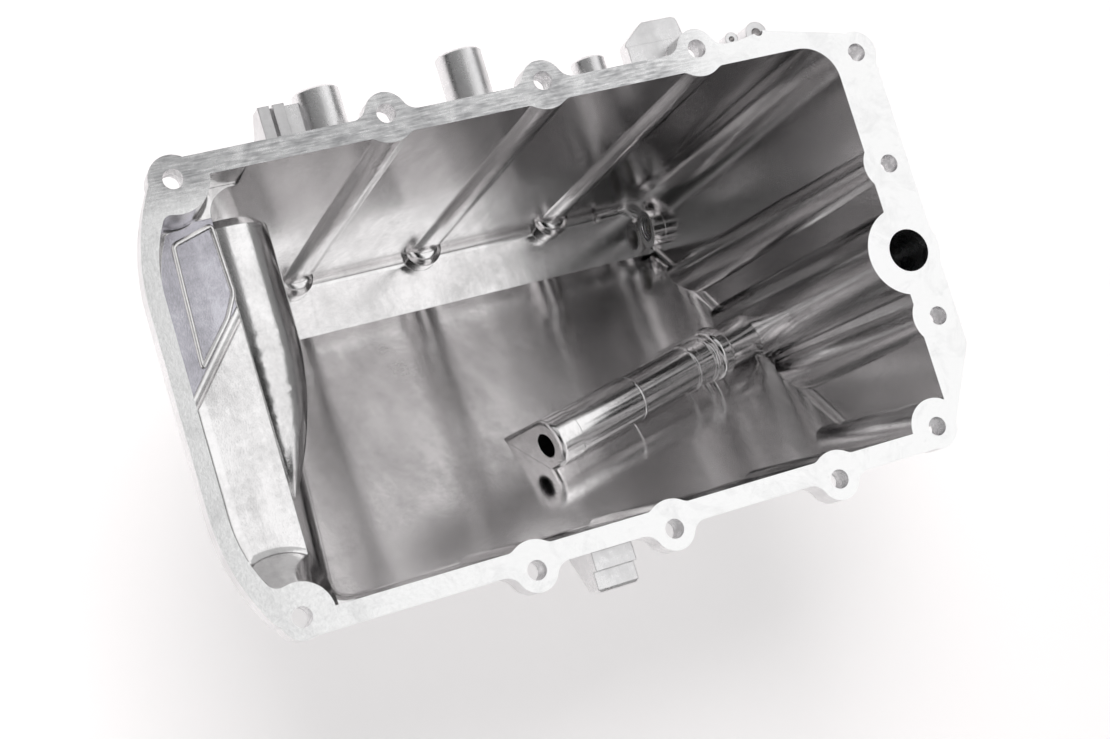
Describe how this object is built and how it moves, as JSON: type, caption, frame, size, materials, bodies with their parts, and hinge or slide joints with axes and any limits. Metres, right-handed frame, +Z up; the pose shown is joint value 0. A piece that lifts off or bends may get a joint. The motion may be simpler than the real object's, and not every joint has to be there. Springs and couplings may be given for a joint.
{
  "type": "engine oil pan",
  "caption": "Deep die-cast aluminium sump with a bolted flange, a sloped wall, a shallow ledge at one end and an oil gallery rib along the bottom.",
  "frame": {"origin": "in the plane of the sealing face, midway between the rows of side bolts", "axes": "+X along the crankshaft towards the end with the oil port, +Y across towards the tall straight wall, +Z up to the engine block"},
  "size_m": [0.3646, 0.2427, 0.2425],
  "materials": {
    "cast_aluminium": "bright die-cast skin, milled on the sealing face",
    "plated_steel": "zinc plated",
    "washer_aluminium": "plain soft aluminium",
    "plug_steel": "bare pressed steel"
  },
  "bodies": {
    "root": {"oil_pan": "cast_aluminium", "drain_plug": "plated_steel", "drain_plug_washer": "washer_aluminium", "gallery_plug": "plug_steel"}
  },
  "joints": []
}
